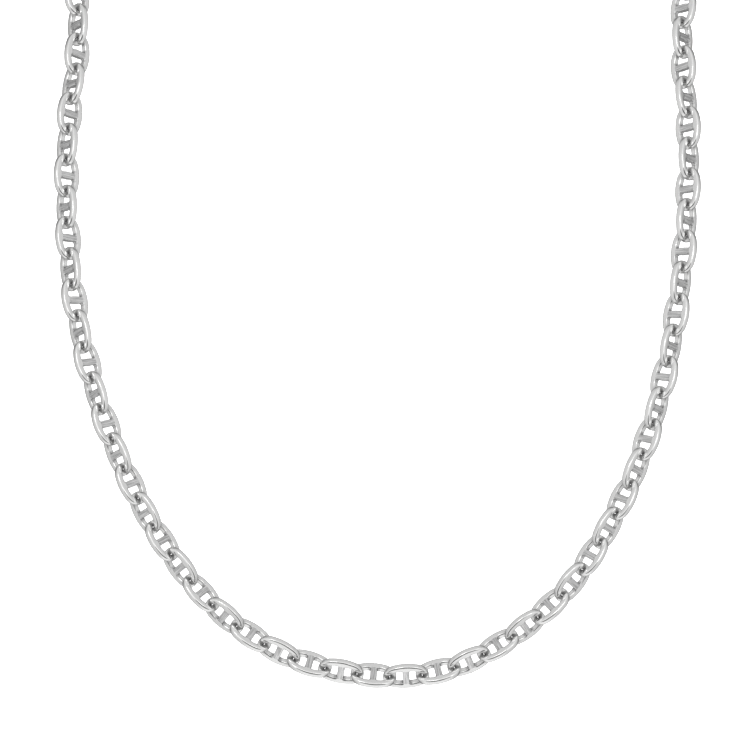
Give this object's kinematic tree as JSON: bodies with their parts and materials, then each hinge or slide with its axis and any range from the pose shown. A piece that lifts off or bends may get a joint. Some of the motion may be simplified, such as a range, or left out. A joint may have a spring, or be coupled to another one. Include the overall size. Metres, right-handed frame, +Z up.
{
  "type": "mariner link chain necklace",
  "caption": "Polished silver necklace of oval mariner links, each with a bar across, closed by a plain barrel clasp at the nape.",
  "frame": {"origin": "the side of the barrel clasp that rests on the nape, at its middle: the place that the necklace hangs from as it is worn", "axes": "+Z up, -Y towards the front of the wearer, where the lowest link hangs; +X to the right as seen from the front; the clasp lies along X"},
  "size_m": [0.1092, 0.0862, 0.1629],
  "materials": {
    "silver": "polished silver with fine polishing lines"
  },
  "bodies": {
    "root": {"chain_left": "silver", "chain_right": "silver", "clasp": "silver"}
  },
  "joints": []
}
